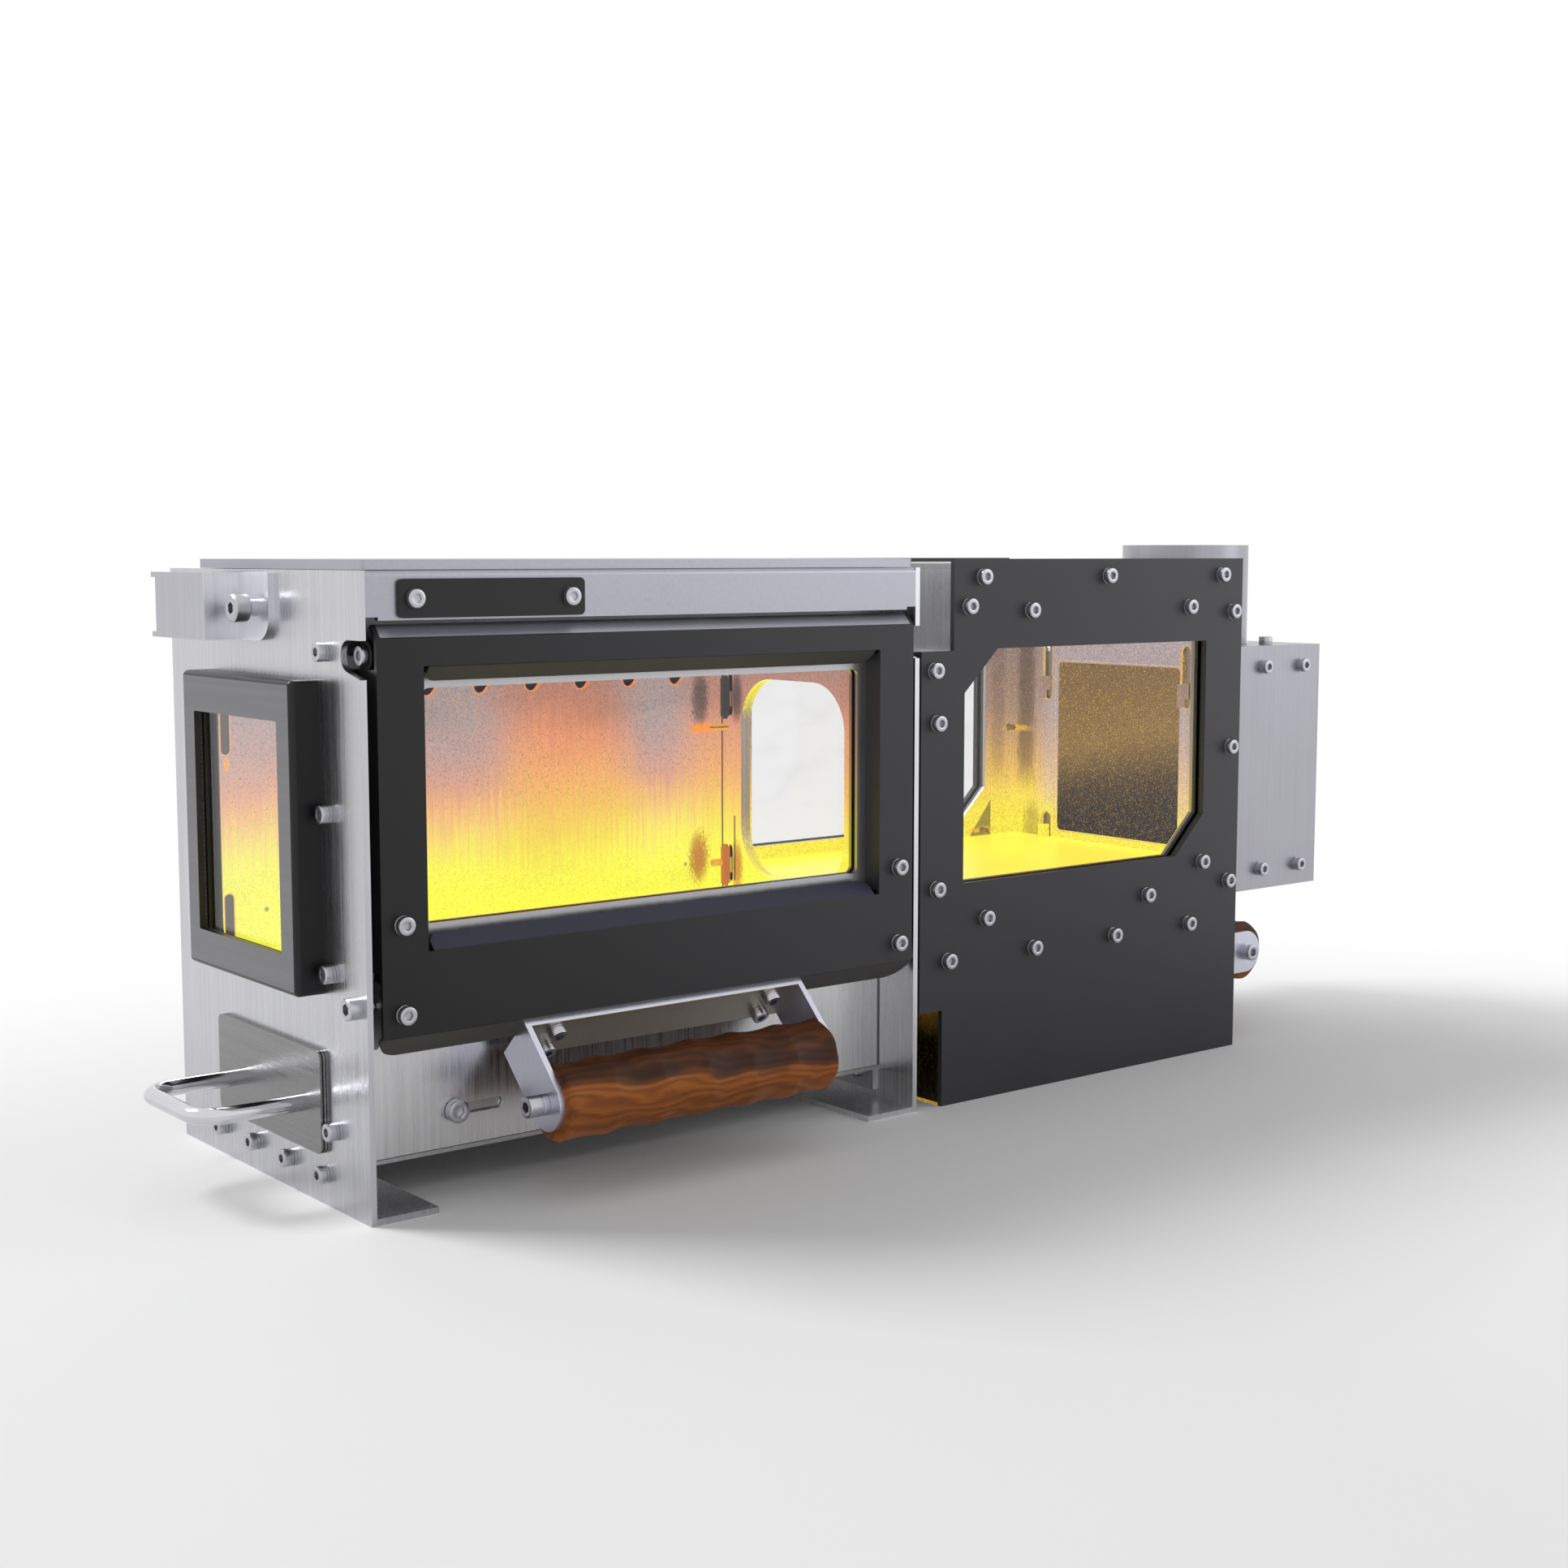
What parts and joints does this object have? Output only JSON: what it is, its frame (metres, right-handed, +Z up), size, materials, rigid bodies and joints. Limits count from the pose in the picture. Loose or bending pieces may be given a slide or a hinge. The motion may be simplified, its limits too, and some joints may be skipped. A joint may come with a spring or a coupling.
{
  "type": "camping pellet stove",
  "caption": "Tabletop camping pellet stove: glazed fire section with a top-hinged door and pull-out ash drawer, a glazed middle section, and a flue box with a round collar.",
  "frame": {"origin": "on the floor, under the middle of the whole stove's footprint", "axes": "+X along the stove from the ash drawer to the flue box, +Y from the door to the rear, +Z up"},
  "size_m": [0.762, 0.2395, 0.3015],
  "materials": {
    "end_plate_steel": "vertically brushed stainless steel",
    "bright_steel": "fine brushed stainless steel",
    "sheet_steel": "brushed stainless sheet",
    "hot_steel": "heat-tinted stainless sheet",
    "black_paint": "satin black heat-resistant paint",
    "drawer_steel": "darker horizontally brushed steel",
    "bracket_steel": "satin stainless steel",
    "chrome_rod": "polished rod",
    "screw_steel": "bright socket screws",
    "flue_steel": "light brushed stainless steel",
    "window_glass": "clear heat-resistant glass",
    "seal_rope": "graphite rope and flat seal",
    "walnut": "oiled dark wood, turned"
  },
  "bodies": {
    "stove": {"air_slide_guides": "sheet_steel", "belly_plate": "sheet_steel", "body_screws": "screw_steel", "chamber_base": "sheet_steel", "chamber_floor": "hot_steel", "chamber_front_glass": "window_glass", "chamber_front_inner_wall": "hot_steel", "chamber_front_panel": "black_paint", "chamber_left_wall": "sheet_steel", "chamber_rear_glass": "window_glass", "chamber_rear_inner_wall": "hot_steel", "chamber_rear_panel": "black_paint", "chamber_right_wall": "sheet_steel", "chamber_top": "sheet_steel", "chamber_window_rings": "black_paint", "door_catch_plunger": "screw_steel", "door_hinge_screws": "screw_steel", "drawer_rails": "sheet_steel", "fire_grate": "hot_steel", "flue_collar": "flue_steel", "flue_front_cheek": "flue_steel", "flue_rear_cheek": "flue_steel", "flue_screws": "screw_steel", "flue_shell": "flue_steel", "front_frame": "sheet_steel", "hanger_bracket": "bright_steel", "hanging_stud": "screw_steel", "left_end_plate": "end_plate_steel", "lower_front_panel": "end_plate_steel", "nameplate": "black_paint", "panel_screws": "screw_steel", "rear_liner": "hot_steel", "rear_wall": "sheet_steel", "right_end_plate": "end_plate_steel", "side_window_cover": "black_paint", "side_window_glass": "window_glass", "side_window_retainer": "sheet_steel", "standoffs": "screw_steel", "top_plate": "bright_steel", "window_gaskets": "seal_rope"},
    "door": {"door_face": "black_paint", "door_frame": "sheet_steel", "door_glass": "window_glass", "door_glass_retainer": "sheet_steel", "door_seal": "seal_rope", "door_screws": "screw_steel", "door_handle_backing": "drawer_steel", "door_handle_bracket": "bracket_steel", "door_handle_grip": "walnut"},
    "hot_plate": {"hot_plate": "bright_steel"},
    "air_slide": {"air_slide_plate": "sheet_steel", "air_slide_knob": "screw_steel"},
    "ash_drawer": {"ash_drawer_front": "drawer_steel", "ash_drawer_tray": "drawer_steel", "ash_drawer_handle": "chrome_rod"},
    "lower_drawer": {"lower_drawer_front": "drawer_steel", "lower_drawer_tray": "drawer_steel", "lower_drawer_bracket": "bracket_steel", "lower_drawer_grip": "walnut", "lower_drawer_screws": "screw_steel"}
  },
  "joints": [
    {"name": "door_hinge", "type": "hinge", "parent": "stove", "child": "door", "pos_m": [-0.1616, -0.07424, 0.2518], "axis": [-1, 0, 0], "range_deg": [0, 100]},
    {"name": "hot_plate_lift", "type": "slide", "parent": "stove", "child": "hot_plate", "axis": [0, 0, 1], "range_m": [0, 0.1]},
    {"name": "air_slide_travel", "type": "slide", "parent": "stove", "child": "air_slide", "axis": [1, 0, 0], "range_m": [0, 0.0235]},
    {"name": "ash_drawer_travel", "type": "slide", "parent": "stove", "child": "ash_drawer", "axis": [-1, 0, 0], "range_m": [0, 0.24]},
    {"name": "lower_drawer_travel", "type": "slide", "parent": "stove", "child": "lower_drawer", "axis": [1, 0, 0], "range_m": [0, 0.18]}
  ]
}
